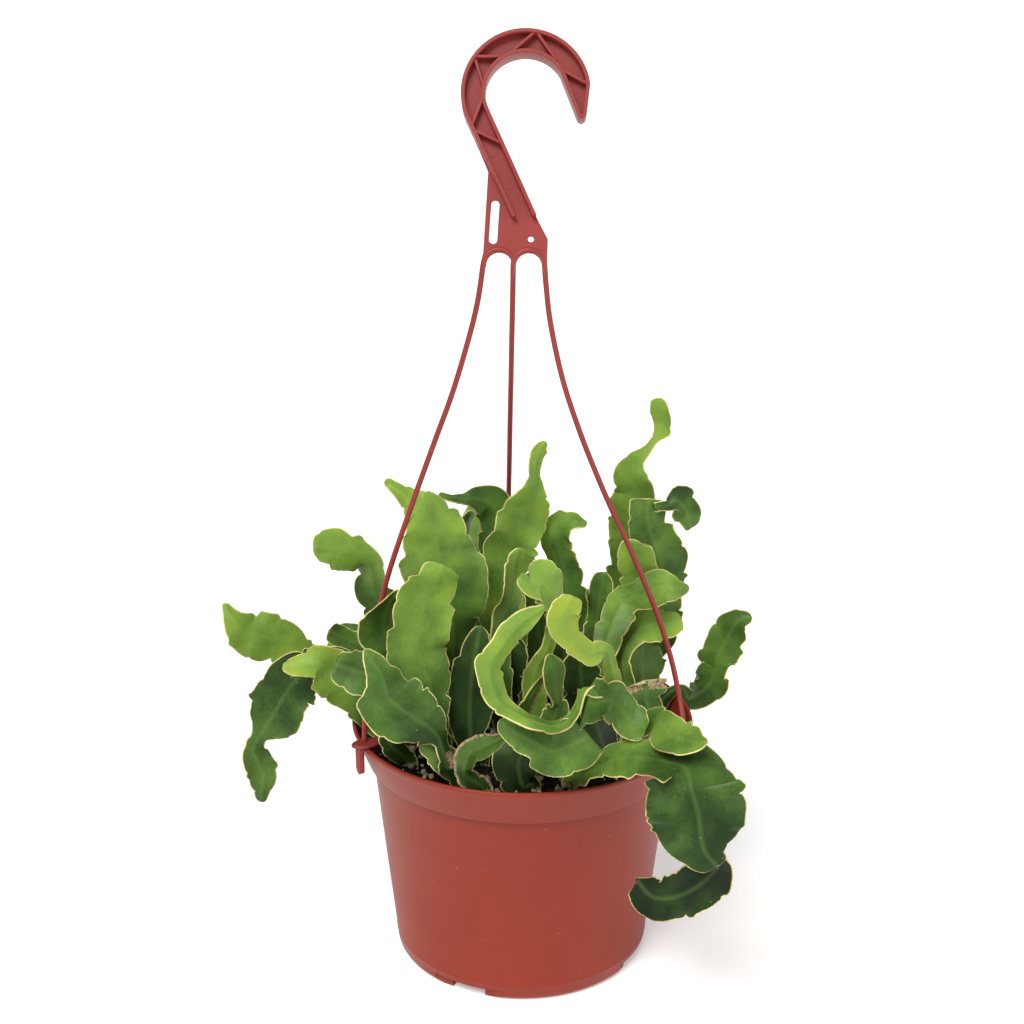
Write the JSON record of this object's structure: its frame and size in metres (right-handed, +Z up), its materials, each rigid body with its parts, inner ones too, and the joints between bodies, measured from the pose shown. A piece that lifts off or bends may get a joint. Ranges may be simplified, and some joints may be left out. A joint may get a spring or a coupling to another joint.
{
  "type": "potted curly locks cactus",
  "caption": "Curly cactus with flat, waved and twisted green stems in a tapered round plastic hanging pot with soil and a clip-on hook hanger.",
  "frame": {"origin": "on the pot's axis, in the plane of the pot's foot", "axes": "+Z up along the pot's axis, -Y towards the front of the plant, +X to the right seen from the front"},
  "size_m": [0.2413, 0.2173, 0.4123],
  "materials": {
    "pot_plastic": "moulded polypropylene, satin",
    "hanger_plastic": "moulded polypropylene, satin",
    "potting_mix": "loose peat with grit",
    "stem_green": "waxy succulent skin"
  },
  "bodies": {
    "root": {"pot": "pot_plastic", "soil": "potting_mix", "hanger": "hanger_plastic", "stem_far_left_upper": "stem_green", "stem_far_left_hanging": "stem_green", "stem_left_bright": "stem_green", "stem_left_dark": "stem_green", "stem_left_curled": "stem_green", "stem_left_edged": "stem_green", "stem_front_left_tall": "stem_green", "stem_front_left_star": "stem_green", "stem_left_low_dark": "stem_green", "stem_centre_left_dark": "stem_green", "stem_upper_left_big": "stem_green", "stem_upper_dark_leaning": "stem_green", "stem_centre_tall": "stem_green", "stem_centre_right_curled": "stem_green", "stem_centre_narrow": "stem_green", "stem_centre_small_bright": "stem_green", "stem_ring": "stem_green", "stem_centre_boomerang": "stem_green", "stem_centre_scarred": "stem_green", "stem_right_broad_bright": "stem_green", "stem_right_low_bright": "stem_green", "stem_right_tall": "stem_green", "stem_right_upper": "stem_green", "stem_right_inner_bright": "stem_green", "stem_right_grey": "stem_green", "stem_right_corky": "stem_green", "stem_far_right": "stem_green", "stem_right_arch": "stem_green", "stem_trailing": "stem_green", "stem_front_folded": "stem_green", "stem_front_low_dark": "stem_green", "stem_inner_left": "stem_green", "stem_inner_front": "stem_green", "stem_inner_right": "stem_green", "stem_inner_back": "stem_green", "stem_back_far_left": "stem_green", "stem_back_left": "stem_green", "stem_back_centre_left": "stem_green", "stem_back_trailing": "stem_green", "stem_back_right": "stem_green", "stem_back_far_right": "stem_green", "stem_back_inner_right": "stem_green", "stem_back_inner_left": "stem_green"}
  },
  "joints": []
}
